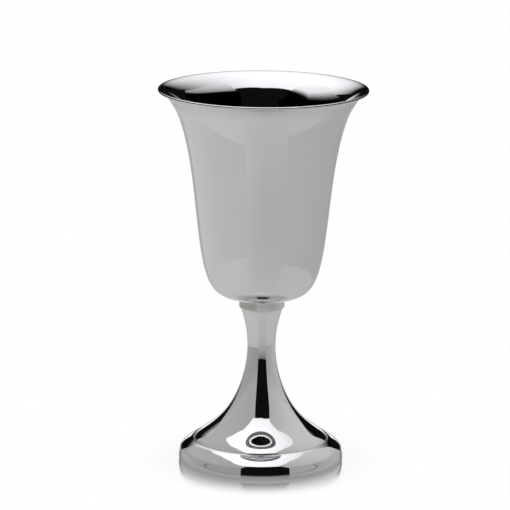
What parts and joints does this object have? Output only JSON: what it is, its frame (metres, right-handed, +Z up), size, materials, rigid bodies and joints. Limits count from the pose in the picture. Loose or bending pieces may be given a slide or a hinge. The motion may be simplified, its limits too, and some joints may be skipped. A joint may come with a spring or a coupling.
{
  "type": "communion chalice",
  "caption": "Polished metal communion chalice: a deep flared cup on a slim waisted stem and round trumpet foot, for holding wine at the altar.",
  "frame": {"origin": "centre of the foot's resting face", "axes": "+Z up along the chalice's axis, from the foot to the lip; the chalice is round, so X and Y are free"},
  "size_m": [0.091, 0.091, 0.165],
  "materials": {
    "silver_plate": "mirror-polished silver plate",
    "brass": "turned brass, unpolished",
    "zinc_steel": "bright zinc-plated steel"
  },
  "bodies": {
    "root": {"cup_bowl": "silver_plate", "stem_collar": "silver_plate", "trumpet_foot": "silver_plate", "foot_moulding": "silver_plate", "foot_wire": "silver_plate", "cup_boss": "brass", "pressure_disc": "brass", "tie_rod": "zinc_steel", "flat_washer": "zinc_steel", "spring_washer": "zinc_steel", "hex_nut": "zinc_steel"}
  },
  "joints": []
}
